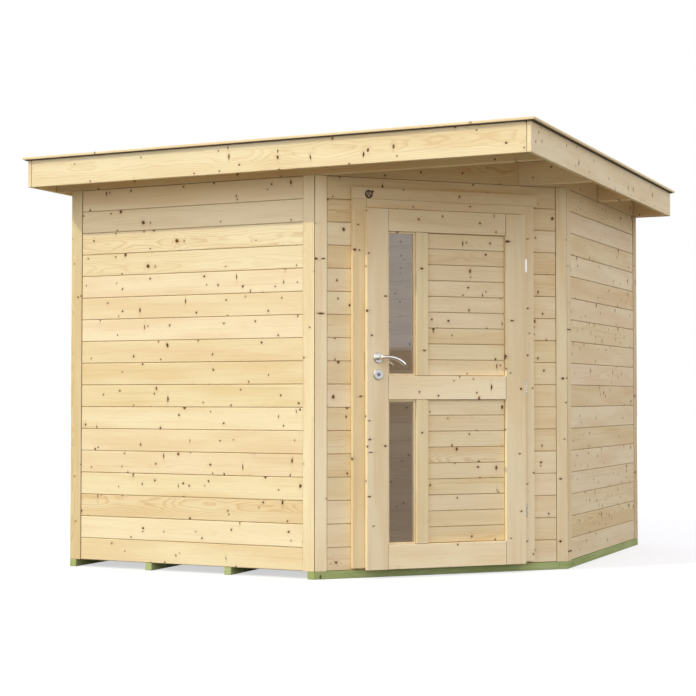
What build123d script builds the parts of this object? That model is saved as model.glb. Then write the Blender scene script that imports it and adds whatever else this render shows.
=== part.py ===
from build123d import *
import os
from math import ceil, sqrt

os.makedirs("parts", exist_ok=True)

# A five-cornered garden house of planed spruce boards, door in the cut corner, flat roof.
# X runs along the front wall, Y to the back, Z up. The origin is under the middle of the roof.

# House plan
house_width = 2412.0
house_depth = 2412.0
corner_cut = 980.0

# Board walls
board_pitch = 114.0
board_thick = 28.0
board_recess = 5.0
post_face = 64.0
post_gap = 3.0

# Floor
bearer_size = 38.0
front_bearer_bays = 3
floor_thick = 18.0

# Roof
left_overhang = 120.0
right_overhang = 200.0
front_overhang = 220.0
back_overhang = 38.0
beam_count = 4
beam_width = 45.0
beam_height = 120.0
deck_thick = 19.0
felt_thick = 3.0
fascia_thick = 20.0
lath_width = 50.0
lath_thick = 12.0
lath_overhang = 22.0

# Door frame, on the wall across the cut corner
door_shift = -8.0
opening_width = 846.0
opening_height = 1784.0
jamb_thick = 30.0
head_height = 44.0
head_proud = 8.0
threshold_setback = 5.0
architrave_width = 72.0
architrave_thick = 30.0
architrave_foot = 12.0
head_board_length = 1014.0
head_board_height = 58.0
head_board_shift = 2.5
strike_width = 17.0
strike_depth = 24.0
strike_thick = 2.0
strike_over_latch = 26.0
strike_under_bolt = 27.0
strike_hole = (14.0, 28.0)
strike_pocket = 12.0

# Door leaf: a lip that laps the frame and, behind its rebate, a back that fits the opening
lock_lap = 10.0
hinge_lap = 6.0
lip_thick = 32.0
rebate_thick = 15.0
rebate_play = 5.5
leaf_gap = 5.0
leaf_foot = 4.0
leaf_top_gap = 5.0
threshold_play = 5.0
stile_width = 110.0
top_rail_height = 110.0
middle_rail_bottom = 837.0
middle_rail_height = 118.0
bottom_rail_height = 120.0
glass_width = 150.0
mullion_width = 64.0
panel_setback = 20.0
panel_thick = 12.0
glass_setback = 22.0
glass_thick = 4.0
glass_play = 0.5
bead_width = 10.0
front_bead_depth = 8.0
back_bead_depth = 12.0

# Hinges
hinge_heights = (272.0, 898.0, 1522.0)
hinge_offset = 9.0
knuckle_radius = 6.5
knuckle_length = 33.0
knuckle_gap = 0.6
hinge_pin_radius = 3.0
pin_play = 0.15
pin_reach = 28.0
wing_thick = 2.5
wing_height = 67.0
frame_wing_width = 16.0
leaf_wing_depth = 22.0

# Lever handle and lock
backset = 57.0
spindle_height = 1042.0
cylinder_drop = 82.0
rosette_radius = 26.0
rosette_thick = 8.0
rosette_edge = 2.5
bar_radius = 9.5
bar_play = 0.4
grip_reach = 58.0
grip_route = ((0, 0), (42, 18), (120, -27))
grip_bends = (14.0, 60.0)
tip_edge = 2.0
spindle_size = 8.0
spindle_bore_radius = 8.0
cylinder_radius = 8.5
cylinder_proud = 3.0
key_slot = (2.0, 10.0, 6.0)
seat = 0.3

# Levels: the walls have as many courses as cover the door frame and its head board
board_courses = ceil((opening_height + head_height + head_board_height) / board_pitch)
wall_bottom = bearer_size
wall_height = board_pitch * board_courses
wall_top = wall_bottom + wall_height
deck_bottom = wall_top + beam_height
felt_bottom = deck_bottom + deck_thick
roof_top = felt_bottom + felt_thick

# Plan lines: the outer faces of the walls and of the fascia boards
roof_span_x = house_width + left_overhang + right_overhang
roof_span_y = house_depth + front_overhang + back_overhang
fascia_left = -roof_span_x / 2
fascia_right = roof_span_x / 2
fascia_front = -roof_span_y / 2
fascia_back = roof_span_y / 2
left = fascia_left + left_overhang
right = left + house_width
front = fascia_front + front_overhang
back = front + house_depth
corner_a = (right - corner_cut, front)
corner_b = (right, front + corner_cut)
inner_face = board_recess + board_thick
half = 1 / sqrt(2)
inward_front = (0.0, 1.0)
inward_door = (-half, half)
inward_right = (-1.0, 0.0)
along_door = (half, half)

# Frame of the door wall: x along the wall from its middle, y into the house, z from the wall's foot
door_wall_middle = ((corner_a[0] + corner_b[0]) / 2, (corner_a[1] + corner_b[1]) / 2, wall_bottom)
door_wall = Location(door_wall_middle, (0, 0, 45))
wall_half = corner_cut * sqrt(2) / 2
opening_left = door_shift - opening_width / 2
opening_right = door_shift + opening_width / 2
frame_top = opening_height + head_height
architrave_front = board_recess - architrave_thick
leaf_shoulder = architrave_front - leaf_gap
leaf_front = leaf_shoulder - lip_thick
leaf_back = leaf_shoulder + rebate_thick
leaf_left = opening_left - lock_lap
leaf_right = opening_right + hinge_lap
leaf_top = opening_height - leaf_top_gap
rebate_left = opening_left + rebate_play
rebate_right = opening_right - rebate_play
rebate_bottom = floor_thick + threshold_play
spindle_x = leaf_left + backset
cylinder_z = spindle_height - cylinder_drop


def block(x0, x1, y0, y1, z0, z1):
    """A box between two corners."""
    middle = Pos((x0 + x1) / 2, (y0 + y1) / 2, (z0 + z1) / 2)
    return middle * Box(abs(x1 - x0), abs(y1 - y0), abs(z1 - z0))


def prism(points, z0, z1):
    """A plan outline raised between two levels."""
    face = make_face(Polyline(*points, close=True))
    return Pos(0, 0, z0) * extrude(face, z1 - z0)


def rod(radius, x, z, y0, y1):
    """A round bar along the y direction of the door wall."""
    turned = Pos(x, (y0 + y1) / 2, z) * Rot(X=90)
    return turned * Cylinder(radius, abs(y1 - y0))


def step_point(point, direction, length):
    """A plan point moved along a direction."""
    return (point[0] + direction[0] * length, point[1] + direction[1] * length)


def mitre(corner, normal_1, normal_2, depth):
    """The plan point that lies the same depth behind both walls of a corner."""
    share = depth / (1 + normal_1[0] * normal_2[0] + normal_1[1] * normal_2[1])
    return (corner[0] + (normal_1[0] + normal_2[0]) * share,
            corner[1] + (normal_1[1] + normal_2[1]) * share)


def save(name, *solids):
    """Write one node, which may hold several like pieces."""
    export_step(solids[0] if len(solids) == 1 else Compound(children=list(solids)), f"parts/{name}.step")


def save_at_door(name, *solids):
    """Write a node that was drawn in the door wall's frame."""
    save(name, *[door_wall * solid for solid in solids])


# Bearers: square treated battens from front to back, and one across the cut corner
def bearer_outlines():
    front_step = (corner_a[0] - bearer_size - left) / front_bearer_bays
    starts = [left + front_step * number for number in range(front_bearer_bays + 1)]
    outlines = [((x, front), (x + bearer_size, front), (x + bearer_size, back), (x, back)) for x in starts]
    behind = front + bearer_size * sqrt(2) - corner_a[0]
    middle = (starts[-1] + right - bearer_size) / 2
    outlines.append(((middle, middle + behind), (middle + bearer_size, middle + bearer_size + behind),
                     (middle + bearer_size, back), (middle, back)))
    last = right - bearer_size
    outlines.append(((last, corner_b[1] - bearer_size), corner_b, (right, back), (last, back)))
    return outlines


def corner_bearer_outline():
    last = right - bearer_size
    depth = bearer_size * sqrt(2)
    return (corner_a, (last, corner_b[1] - bearer_size), (last, corner_b[1] - bearer_size + depth),
            (corner_a[0], front + depth))


save("floor_bearers", *[prism(outline, 0, bearer_size) for outline in bearer_outlines()])
save("corner_bearer", prism(corner_bearer_outline(), 0, bearer_size))


# Posts at the three square corners, and mitred pairs at the two blunt corners
def square_post(x, y):
    return block(x, x + post_face, y, y + post_face, wall_bottom, wall_top)


def blunt_post_half(corner, direction, own_normal, other_normal):
    """One leg of a blunt corner post, cut on the mitre and held off it by half the gap."""
    inside = mitre(corner, own_normal, other_normal, inner_face)
    far = step_point(corner, direction, post_face)
    outline = (far, step_point(corner, direction, post_gap / 2), step_point(inside, direction, post_gap / 2),
               step_point(far, own_normal, inner_face))
    return prism(outline, wall_bottom, wall_top)


front_left_post = square_post(left, front)
back_left_post = square_post(left, back - post_face)
back_right_post = square_post(right - post_face, back - post_face)
save("front_left_post", front_left_post)
save("back_left_post", back_left_post)
save("back_right_post", back_right_post)
save("front_corner_post",
     blunt_post_half(corner_a, (-1, 0), inward_front, inward_door),
     blunt_post_half(corner_a, along_door, inward_door, inward_front))
save("side_corner_post",
     blunt_post_half(corner_b, (-half, -half), inward_door, inward_right),
     blunt_post_half(corner_b, (0, 1), inward_right, inward_door))

# Floor boards, notched around the square posts
floor_outline = (
    (left + inner_face, front + inner_face),
    mitre(corner_a, inward_front, inward_door, inner_face),
    mitre(corner_b, inward_door, inward_right, inner_face),
    (right - inner_face, back - inner_face),
    (left + inner_face, back - inner_face),
)
floor = prism(floor_outline, wall_bottom, wall_bottom + floor_thick)
save("floor_boards", floor - front_left_post - back_left_post - back_right_post)


# Board walls between the posts
save("front_wall", block(left + post_face, corner_a[0] - post_face, front + board_recess, front + inner_face,
                         wall_bottom, wall_top))
save("back_wall", block(left + post_face, right - post_face, back - inner_face, back - board_recess,
                        wall_bottom, wall_top))
save("left_wall", block(left + board_recess, left + inner_face, front + post_face, back - post_face,
                        wall_bottom, wall_top))
save("right_wall", block(right - inner_face, right - board_recess, corner_b[1] + post_face, back - post_face,
                         wall_bottom, wall_top))
save_at_door("door_wall_left", block(post_face - wall_half, opening_left - jamb_thick,
                                     board_recess, inner_face, 0, wall_height))
save_at_door("door_wall_right", block(opening_right + jamb_thick, wall_half - post_face,
                                      board_recess, inner_face, 0, wall_height))
save_at_door("door_wall_head", block(opening_left - jamb_thick, opening_right + jamb_thick,
                                     board_recess, inner_face, frame_top, wall_height))


# Door frame and the boards that trim it
jamb_back = inner_face
save_at_door("door_frame_left", block(opening_left - jamb_thick, opening_left, board_recess, jamb_back,
                                      0, frame_top))
save_at_door("door_frame_right", block(opening_right, opening_right + jamb_thick, board_recess, jamb_back,
                                       0, frame_top))
save_at_door("door_frame_head", block(opening_left, opening_right, architrave_front - head_proud, jamb_back,
                                      opening_height, frame_top))
save_at_door("door_threshold", block(opening_left, opening_right, architrave_front + threshold_setback,
                                     inner_face, 0, floor_thick))
architrave_left = block(opening_left - architrave_width, opening_left, architrave_front, board_recess,
                        architrave_foot, frame_top)
save_at_door("architrave_right", block(opening_right, opening_right + architrave_width,
                                       architrave_front, board_recess, architrave_foot, frame_top))
save_at_door("architrave_head", block(head_board_shift - head_board_length / 2,
                                      head_board_shift + head_board_length / 2,
                                      architrave_front, board_recess,
                                      frame_top, frame_top + head_board_height))

# Strike plate: an angle let in flush at the left architrave's edge, with holes for latch and bolt
strike_top = spindle_height + strike_over_latch
strike_bottom = cylinder_z - strike_under_bolt
strike_back = architrave_front + strike_depth
strike_plate = block(opening_left - strike_width, opening_left, architrave_front, strike_back,
                     strike_bottom, strike_top)
strike_plate -= block(opening_left - strike_width, opening_left - strike_thick,
                      architrave_front + strike_thick, strike_back, strike_bottom, strike_top)
architrave_left -= strike_plate
strike_middle = architrave_front + (strike_thick + strike_depth) / 2
hole_width, hole_height = strike_hole
for z in (spindle_height, cylinder_z):
    pocket = block(opening_left - strike_pocket, opening_left, strike_middle - hole_width / 2,
                   strike_middle + hole_width / 2, z - hole_height / 2, z + hole_height / 2)
    strike_plate -= pocket
    architrave_left -= pocket
save_at_door("strike_plate", strike_plate)
save_at_door("architrave_left", architrave_left)

# Roof beams, front to back at even steps, with boards closing the wall tops between them
beam_step = (house_depth - beam_width) / (beam_count - 1)
beams = [block(fascia_left + fascia_thick, fascia_right - fascia_thick,
               front + beam_step * number, front + beam_step * number + beam_width, wall_top, deck_bottom)
         for number in range(beam_count)]
save("roof_beams", *beams)

left_head_outline = ((left + board_recess, front), (left + inner_face, front),
                     (left + inner_face, back), (left + board_recess, back))
door_head_outline = (mitre(corner_a, inward_front, inward_door, board_recess),
                     mitre(corner_b, inward_door, inward_right, board_recess),
                     mitre(corner_b, inward_door, inward_right, inner_face),
                     mitre(corner_a, inward_front, inward_door, inner_face))
right_head_outline = (mitre(corner_b, inward_door, inward_right, board_recess), (right - board_recess, back),
                      (right - inner_face, back), mitre(corner_b, inward_door, inward_right, inner_face))
head_boards = []
for outline in (left_head_outline, door_head_outline, right_head_outline):
    strip = prism(outline, wall_top, deck_bottom)
    for beam in beams:
        strip = strip - beam
    head_boards.extend(strip.solids())
save("head_boards", *head_boards)

# Roof deck, felt, fascia boards and the laths that cover the edge
inside_left = fascia_left + fascia_thick
inside_right = fascia_right - fascia_thick
inside_front = fascia_front + fascia_thick
inside_back = fascia_back - fascia_thick
save("roof_deck", block(inside_left, inside_right, inside_front, inside_back, deck_bottom, felt_bottom))
save("roof_felt", block(inside_left, inside_right, inside_front, inside_back, felt_bottom, roof_top))
save("front_fascia", block(inside_left, inside_right, fascia_front, inside_front, wall_top, roof_top))
save("back_fascia", block(inside_left, inside_right, inside_back, fascia_back, wall_top, roof_top))
save("left_fascia", block(fascia_left, inside_left, fascia_front, fascia_back, wall_top, roof_top))
save("right_fascia", block(inside_right, fascia_right, fascia_front, fascia_back, wall_top, roof_top))


def edge_laths():
    """Four mitred laths around the roof's edge."""
    outer = [(fascia_left - lath_overhang, fascia_front - lath_overhang),
             (fascia_right + lath_overhang, fascia_front - lath_overhang),
             (fascia_right + lath_overhang, fascia_back + lath_overhang),
             (fascia_left - lath_overhang, fascia_back + lath_overhang)]
    inner = [(x - lath_width * (1 if x > 0 else -1), y - lath_width * (1 if y > 0 else -1)) for x, y in outer]
    outlines = [(outer[i], outer[(i + 1) % 4], inner[(i + 1) % 4], inner[i]) for i in range(4)]
    return [prism(outline, roof_top, roof_top + lath_thick) for outline in outlines]


save("roof_edge_laths", *edge_laths())

# Door leaf: stiles, rails and mullions around two panes and two boarded panels
stile_inner_left = leaf_left + stile_width
stile_inner_right = leaf_right - stile_width
mullion_left = stile_inner_left + glass_width
mullion_right = mullion_left + mullion_width
bottom_rail_top = leaf_foot + bottom_rail_height
middle_rail_top = middle_rail_bottom + middle_rail_height
top_rail_bottom = leaf_top - top_rail_height
fields = ((bottom_rail_top, middle_rail_bottom), (middle_rail_top, top_rail_bottom))


def leaf_member(x0, x1, z0, z1):
    """A stile, rail or mullion, rebated where its back has to fit into the opening."""
    lip = block(x0, x1, leaf_front, leaf_shoulder, z0, z1)
    back_part = block(max(x0, rebate_left), min(x1, rebate_right), leaf_shoulder, leaf_back,
                      max(z0, rebate_bottom), z1)
    return lip + back_part


lock_stile = leaf_member(leaf_left, stile_inner_left, leaf_foot, leaf_top)
lock_stile -= rod(spindle_bore_radius, spindle_x, spindle_height, leaf_front, leaf_back)
lock_stile -= rod(cylinder_radius, spindle_x, cylinder_z, leaf_front, leaf_back)
save_at_door("door_stile_lock", lock_stile)
save_at_door("door_stile_hinge", leaf_member(stile_inner_right, leaf_right, leaf_foot, leaf_top))
rail_levels = ((leaf_foot, bottom_rail_top), (middle_rail_bottom, middle_rail_top),
               (top_rail_bottom, leaf_top))
save_at_door("door_rails", *[leaf_member(stile_inner_left, stile_inner_right, low, high)
                             for low, high in rail_levels])
save_at_door("door_mullions", *[leaf_member(mullion_left, mullion_right, low, high) for low, high in fields])
panel_front = leaf_front + panel_setback
save_at_door("door_panels", *[block(mullion_right, stile_inner_right, panel_front, panel_front + panel_thick,
                                    low, high) for low, high in fields])

# Panes, each held between beads
glass_front = leaf_front + glass_setback
glass_back = glass_front + glass_thick
save_at_door("door_glass", *[block(stile_inner_left + glass_play, mullion_left - glass_play,
                                   glass_front, glass_back, low + glass_play, high - glass_play)
                             for low, high in fields])


def bead_frame(low, high, y0, y1):
    """Four beads around a pane, upright ones between level ones."""
    x0, x1 = stile_inner_left, mullion_left
    return [block(x0, x1, y0, y1, low, low + bead_width),
            block(x0, x1, y0, y1, high - bead_width, high),
            block(x0, x0 + bead_width, y0, y1, low + bead_width, high - bead_width),
            block(x1 - bead_width, x1, y0, y1, low + bead_width, high - bead_width)]


beads = []
for low, high in fields:
    beads += bead_frame(low, high, glass_front - front_bead_depth, glass_front)
    beads += bead_frame(low, high, glass_back, glass_back + back_bead_depth)
save_at_door("glazing_beads", *beads)

# Lift-off hinges: the frame half carries the pin, the leaf half sits on it
hinge_x = leaf_right + hinge_offset
hinge_y = architrave_front - wing_thick - knuckle_radius


def frame_hinge(z):
    """Lower knuckle with its pin, and the wing screwed to the architrave."""
    low = z - knuckle_length
    knuckle = Pos(hinge_x, hinge_y, z - (knuckle_length + knuckle_gap) / 2) * Cylinder(
        knuckle_radius, knuckle_length - knuckle_gap)
    pin = Pos(hinge_x, hinge_y, z + pin_reach / 2 - knuckle_gap) * Cylinder(hinge_pin_radius, pin_reach)
    wing = block(hinge_x, hinge_x + frame_wing_width, architrave_front - wing_thick, architrave_front,
                 z - wing_height / 2, z + wing_height / 2)
    foot = block(hinge_x, hinge_x + knuckle_radius, hinge_y, architrave_front, low, z - knuckle_gap)
    upper_clear = Pos(hinge_x, hinge_y, z + knuckle_length / 2) * Cylinder(
        knuckle_radius + knuckle_gap, knuckle_length + knuckle_gap)
    return (wing - upper_clear) + foot + knuckle + pin


def leaf_hinge(z):
    """Upper knuckle, bored for the pin, and the cranked wing screwed to the leaf's edge."""
    knuckle = Pos(hinge_x, hinge_y, z + knuckle_length / 2) * Cylinder(knuckle_radius, knuckle_length)
    wing = block(leaf_right, leaf_right + wing_thick, hinge_y - leaf_wing_depth, hinge_y,
                 z, z + knuckle_length)
    crank = block(leaf_right, hinge_x, hinge_y - wing_thick, hinge_y, z, z + knuckle_length)
    bore = Pos(hinge_x, hinge_y, z + pin_reach / 2) * Cylinder(hinge_pin_radius + pin_play, pin_reach)
    return knuckle + wing + crank - bore


save_at_door("hinge_frame_halves", *[frame_hinge(z) for z in hinge_heights])
save_at_door("hinge_leaf_halves", *[leaf_hinge(z) for z in hinge_heights])


# Lever handle, drawn outside and mirrored inside, on a square spindle
def lever():
    """A round bar out of the door, bent into a drooping grip, with the door's face at y = 0."""
    path = FilletPolyline((0, -seat, 0), *[(x, -grip_reach, z) for x, z in grip_route], radius=grip_bends)
    bar = sweep((path ^ 0) * Circle(bar_radius), path)
    end = Plane(path @ 1, z_dir=path % 1)
    tip = end * Pos(0, 0, tip_edge / 2) * Cone(bar_radius, bar_radius - tip_edge, tip_edge)
    return bar + tip


spindle_reach = grip_reach / 2
spindle = block(-spindle_size / 2, spindle_size / 2, leaf_front - spindle_reach, leaf_back + spindle_reach,
                -spindle_size / 2, spindle_size / 2)
outer_lever = Pos(0, leaf_front, 0) * lever() + spindle
inner_lever = Pos(0, leaf_back, 0) * mirror(lever(), about=Plane.XZ) - spindle
at_spindle = Pos(spindle_x, 0, spindle_height)
save_at_door("outer_lever", at_spindle * outer_lever)
save_at_door("inner_lever", at_spindle * inner_lever)


def rosette(z, face, outward, hole_radius):
    """A round cover plate with a bevelled edge."""
    plate = Cylinder(rosette_radius, rosette_thick)
    plate = chamfer(plate.edges().group_by(Axis.Z)[-1], rosette_edge)
    plate -= Cylinder(hole_radius, rosette_thick)
    turned = Rot(X=90 * outward) * plate
    return Pos(spindle_x, face - outward * rosette_thick / 2, z) * turned


bar_hole = bar_radius + bar_play
save_at_door("handle_rosettes", rosette(spindle_height, leaf_front, 1, bar_hole),
             rosette(spindle_height, leaf_back, -1, bar_hole),
             rosette(cylinder_z, leaf_front, 1, cylinder_radius),
             rosette(cylinder_z, leaf_back, -1, cylinder_radius))

cylinder_front = leaf_front - rosette_thick - cylinder_proud
cylinder_back = leaf_back + rosette_thick + cylinder_proud
slot_width, slot_height, slot_depth = key_slot
lock_cylinder = rod(cylinder_radius, spindle_x, cylinder_z, cylinder_front, cylinder_back)
slot_ends = ((cylinder_front, cylinder_front + slot_depth), (cylinder_back, cylinder_back - slot_depth))
for face, bottom in slot_ends:
    lock_cylinder -= block(spindle_x - slot_width / 2, spindle_x + slot_width / 2, face, bottom,
                           cylinder_z - slot_height / 2, cylinder_z + slot_height / 2)
save_at_door("lock_cylinder", lock_cylinder)
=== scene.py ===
import random
from math import cos, pi, radians, sin

import bmesh
import bpy
from mathutils import Matrix, Vector


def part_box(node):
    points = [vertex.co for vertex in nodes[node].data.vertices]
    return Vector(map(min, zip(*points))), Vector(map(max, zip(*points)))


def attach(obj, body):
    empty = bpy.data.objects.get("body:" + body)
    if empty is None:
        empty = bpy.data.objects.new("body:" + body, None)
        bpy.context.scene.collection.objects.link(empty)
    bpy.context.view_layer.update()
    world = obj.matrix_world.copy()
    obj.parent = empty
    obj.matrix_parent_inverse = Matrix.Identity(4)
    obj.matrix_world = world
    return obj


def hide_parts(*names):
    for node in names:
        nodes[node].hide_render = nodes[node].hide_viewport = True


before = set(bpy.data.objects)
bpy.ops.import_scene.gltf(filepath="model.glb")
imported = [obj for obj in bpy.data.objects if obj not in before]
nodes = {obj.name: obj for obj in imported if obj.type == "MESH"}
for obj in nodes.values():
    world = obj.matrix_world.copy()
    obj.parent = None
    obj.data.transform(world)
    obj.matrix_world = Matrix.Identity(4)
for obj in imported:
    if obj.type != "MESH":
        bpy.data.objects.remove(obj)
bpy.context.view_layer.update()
draw = random.Random(11)

# Turn of each wall: its local x runs along the wall and its local y points into the room
DOOR_TURN = radians(45)
WALL_TURNS = {
    "front_wall": 0.0,
    "right_wall": radians(90),
    "back_wall": radians(180),
    "left_wall": radians(270),
}

# Boards, in metres
BOARD_PITCH = 0.114
PANEL_PITCH = 0.0812
DECK_PITCH = 0.0925
FLOOR_PITCH = 0.121
LEAST_COURSE = 0.01
JOINT_CHAMFER = 0.0028
JOINT_SLIT = 0.0009
JOINT_DEPTH = 0.0052
END_GAP = 0.0025
PANEL_END_GAP = 0.002
RAIL_END_GAP = 0.0012
FASCIA_END_GAP = 0.0016
EDGE_ROUND = 0.002
EDGE_STEPS = 2
WELD_REACH = 0.00005

# Faces that meet flatter than this are joined, and edges sharper than this are rounded, or sharp on a lever
FLAT_ANGLE = radians(1)
ROUNDED_ANGLE = radians(30)
SHARP_ANGLE = radians(35)

# Share of a pitch that a course may start too high, and the middle rail's least distance to the panels' ends
COURSE_SLACK = 0.02
MIDDLE_RAIL_REACH = 0.3

# Felt, nails and screws, in metres
FELT_LAP = 0.08
FELT_STEP = 0.0014
FELT_SHEETS = 3
FOLD_REACH = 0.013
FOLD_HEIGHT = 0.003
FOLD_PLAY = 0.0003
NAIL_PITCH = 0.1
NAIL_RADIUS = 0.005
LATH_NAIL_PITCH = 0.3
LATH_NAIL_RADIUS = 0.0022
LATH_NAIL_SINK = 0.0011
SCREW_RADIUS = 0.0032
WING_THICK = 0.0025
WING_SCREW_SPREAD = 0.023
WING_SCREW_INSET = 0.0048
LEAF_SCREW_SPREAD = 0.009
LEAF_SCREW_INSET = 0.006
LEAF_SCREW_RADIUS = 0.00256
PLATE_SCREW_INSET = 0.012

# Heads of nails and screws: rings of a share of the head's radius, at a height in metres
HEAD_CORNERS = 14
NAIL_HEAD = ((1.0, -0.0002), (1.0, 0.0005), (0.8, 0.0009))
SCREW_HEAD = ((1.0, -0.0002), (1.0, 0.0003), (0.75, 0.0008), (0.42, 0.0009), (0.34, 0.0001))

# Lever bar, in metres: out of the cover plate, round a tight corner and along the door in a wide falling arc
BAR_RADIUS = 0.0095
BAR_SIDES = 28
BAR_CORNER = 0.014
BAR_CORNER_STEPS = 12
GRIP_RISE = radians(6)
GRIP_STEP = radians(1.5)
GRIP_RADIUS = 0.130
GRIP_LENGTH = 0.119
TIP_EDGE = 0.002
COLLAR_RADIUS = 0.0115
COLLAR_LENGTH = 0.005
COLLAR_EDGE = 0.001
LEVER_PLAY = 0.0003
SPINDLE_RADIUS = 0.0056

# The large dark knot of the board over the door: from the board's left end, under its middle, and its radius
KNOT_FROM_END = 0.0855
KNOT_UNDER_MIDDLE = 0.005
KNOT_RADIUS = 0.021

# Where boards and placed members are cut from the trunk, in metres: the most each way, or the least and most.
# A board's lean is a slope and a placed member's is in degrees. Figure, up to 1, is how clearly rings show.
CUT_ALONG = 40.0
CUT_ASIDE = 0.04
CUT_BEHIND = (0.04, 0.12)
CUT_LEAN = 0.02
MOST_FIGURE = 0.75
PLACED_ASIDE = 0.03
PLACED_BEHIND = (0.05, 0.11)
PLACED_LEAN = 1.0

# Knots of each kind: their cells' length and width, least and most half length, share of cells that have one
OVAL_KNOTS = ((0.15, 0.21), (0.0038, 0.0062), 0.5)
DASH_KNOTS = ((0.09, 0.30), (0.0022, 0.0034), 0.22)
PIN_KNOTS = ((0.105, 0.115), (0.0028, 0.0046), 0.52)

# Growth rings, how far knots push them aside, fibres, clouds and streaks per metre, and how far the painted
# shade in joints and corners reaches
RINGS_PER_METRE = 230.0
RING_PUSH = 0.005
FIBRES = (12.0, 560.0, 560.0)
CLOUDS = (1.7, 12.0, 12.0)
STREAKS = (2.0, 75.0, 75.0)
CORNER_SHADE_REACH = 0.0038
WOOD_GLOSS = 0.05

# Floor, light and camera
FLOOR_REACH = 60.0
SUN_TOWARDS = (-0.967, -1.112, 1.19)
FILL_TOWARDS = (0.1, -1.0, 0.25)
ROOM_LAMP_PLACE = (-0.1, 0.15, 1.5)
HORIZON = sin(radians(1.9))
LENS = 78.909
EYE = (3.4774, -7.7904, 0.8862)
EYE_TILT = 1.848
EYE_TURN = 24.992


def colour(red, green, blue):
    """A colour given in display values from 0 to 255, as linear RGBA."""
    def linear(value):
        share = value / 255
        return share / 12.92 if share <= 0.04045 else ((share + 0.055) / 1.055) ** 2.4
    return (linear(red), linear(green), linear(blue), 1.0)


# Short calls for node trees
def add(tree, kind, inputs=None, **settings):
    """A node with its settings, and its inputs given as values or as sockets to link."""
    node = tree.nodes.new(kind)
    for key, value in settings.items():
        setattr(node, key, value)
    for key, value in (inputs or {}).items():
        if isinstance(value, bpy.types.NodeSocket):
            tree.links.new(value, node.inputs[key])
        else:
            node.inputs[key].default_value = value
    return node


def calc(tree, operation, *values):
    """The result of a Math node."""
    return add(tree, "ShaderNodeMath", dict(enumerate(values)), operation=operation).outputs[0]


def fade(tree, value, start, end, low=0.0, high=1.0):
    """A soft step of value between start and end."""
    inputs = {"Value": value, "From Min": start, "From Max": end, "To Min": low, "To Max": high}
    return add(tree, "ShaderNodeMapRange", inputs, interpolation_type="SMOOTHSTEP").outputs[0]


def blend(tree, factor, first, second):
    """Two colours mixed."""
    return add(tree, "ShaderNodeMix", {0: factor, 6: first, 7: second}, data_type="RGBA").outputs[2]


def stretched(tree, vector, scale):
    """Coordinates multiplied by a scale for each axis."""
    return add(tree, "ShaderNodeVectorMath", {0: vector, 1: scale}, operation="MULTIPLY").outputs[0]


def noise(tree, vector, scale, detail=2.0, roughness=0.5):
    """Noise on stretched coordinates, from 0 to 1."""
    placed = stretched(tree, vector, scale)
    inputs = {"Vector": placed, "Scale": 1.0, "Detail": detail, "Roughness": roughness}
    return add(tree, "ShaderNodeTexNoise", inputs).outputs["Fac"]


def swing(tree, vector, scale, reach):
    """Noise about zero, as far as reach each way."""
    centred = calc(tree, "SUBTRACT", noise(tree, vector, scale), 0.5)
    return calc(tree, "MULTIPLY", centred, 2.0 * reach)


def warped(tree, vector, scale, reach):
    """Coordinates moved about by noise, as far as reach along each axis."""
    inputs = {"Vector": stretched(tree, vector, scale), "Scale": 1.0, "Detail": 1.0}
    cloud = add(tree, "ShaderNodeTexNoise", inputs).outputs["Color"]
    centred = add(tree, "ShaderNodeVectorMath", {0: cloud, 1: (0.5, 0.5, 0.5)}, operation="SUBTRACT")
    moved = stretched(tree, centred.outputs[0], tuple(2.0 * way for way in reach))
    return add(tree, "ShaderNodeVectorMath", {0: vector, 1: moved}, operation="ADD").outputs[0]


def knots(tree, grain, cell, size, share):
    """Distance to the nearest knot of one kind, in its own radii.

    Each cell, so long and so wide, holds one knot or none. Size is half a knot's length, least and most.
    A knot is as much wider than long as its cell is, and runs straight through the board.
    """
    long, wide = cell
    placed = stretched(tree, grain, (1 / long, 1 / wide, 0.0))
    cells = add(tree, "ShaderNodeTexVoronoi", {"Vector": placed, "Scale": 1.0}, voronoi_dimensions="2D")
    chance = add(tree, "ShaderNodeSeparateColor", {"Color": cells.outputs["Color"]})
    radius = fade(tree, chance.outputs[1], 0.0, 1.0, size[0] / long, size[1] / long)
    absent = calc(tree, "GREATER_THAN", chance.outputs[0], share)
    near = calc(tree, "DIVIDE", cells.outputs["Distance"], radius)
    return calc(tree, "ADD", near, calc(tree, "MULTIPLY", absent, 100.0))


def knot_masks(tree, grain):
    """Core, pith, rim and surroundings of the knots, each from 0 to 1."""
    bent = warped(tree, grain, (14.0, 10.0, 0.0), (0.014, 0.008, 0.0))
    oval = knots(tree, bent, *OVAL_KNOTS)
    small = calc(tree, "MINIMUM", knots(tree, bent, *DASH_KNOTS), knots(tree, bent, *PIN_KNOTS))
    ragged = fade(tree, noise(tree, grain, (200.0, 200.0, 4.0)), 0.2, 0.8, 0.75, 1.3)
    knot = calc(tree, "MULTIPLY", calc(tree, "MINIMUM", oval, small), ragged)
    core = fade(tree, knot, 1.15, 0.9)
    pith = fade(tree, calc(tree, "MULTIPLY", oval, ragged), 0.75, 0.2)
    rim = fade(tree, knot, 1.9, 1.1)
    halo = fade(tree, knot, 5.0, 1.0)
    return core, pith, rim, halo


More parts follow.
